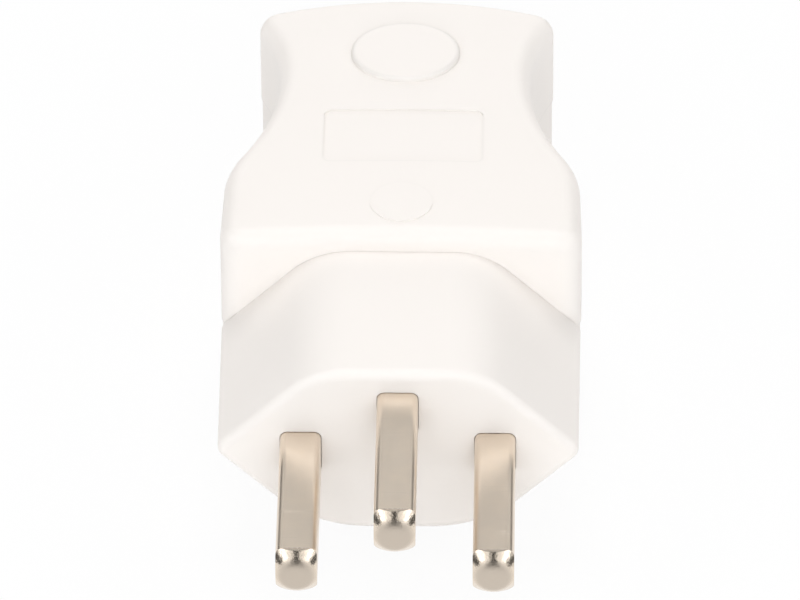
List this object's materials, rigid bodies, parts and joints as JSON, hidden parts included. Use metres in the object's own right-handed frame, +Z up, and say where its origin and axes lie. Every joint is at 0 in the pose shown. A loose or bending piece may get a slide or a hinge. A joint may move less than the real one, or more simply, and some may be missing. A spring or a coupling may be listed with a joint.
{
  "type": "swiss mains plug",
  "caption": "Rewirable mains plug with flat contact pins in a six-sided nose, a waisted two-shell grip housing and a round cable inlet at the rear.",
  "frame": {"origin": "middle of the flat front face of the nose, on the line between the live and neutral pins", "axes": "+Y from the pins to the cable inlet, +Z up to the side of the earth pin, +X to the neutral pin"},
  "size_m": [0.0358, 0.0804, 0.0245],
  "materials": {
    "shell_plastic": "warm white moulded plastic with a soft gloss",
    "clamp_plastic": "matte grey moulded plastic",
    "pin_nickel": "satin nickel plating on brass",
    "screw_steel": "bright zinc plating"
  },
  "bodies": {
    "root": {"upper_shell": "shell_plastic", "lower_shell": "shell_plastic", "pin_carrier": "shell_plastic", "cord_clamp": "clamp_plastic", "live_pin": "pin_nickel", "neutral_pin": "pin_nickel", "earth_pin": "pin_nickel", "live_terminal_screw": "screw_steel", "neutral_terminal_screw": "screw_steel", "earth_terminal_screw": "screw_steel", "housing_screw_left": "screw_steel", "housing_screw_right": "screw_steel", "clamp_screw_left": "screw_steel", "clamp_screw_right": "screw_steel"}
  },
  "joints": []
}
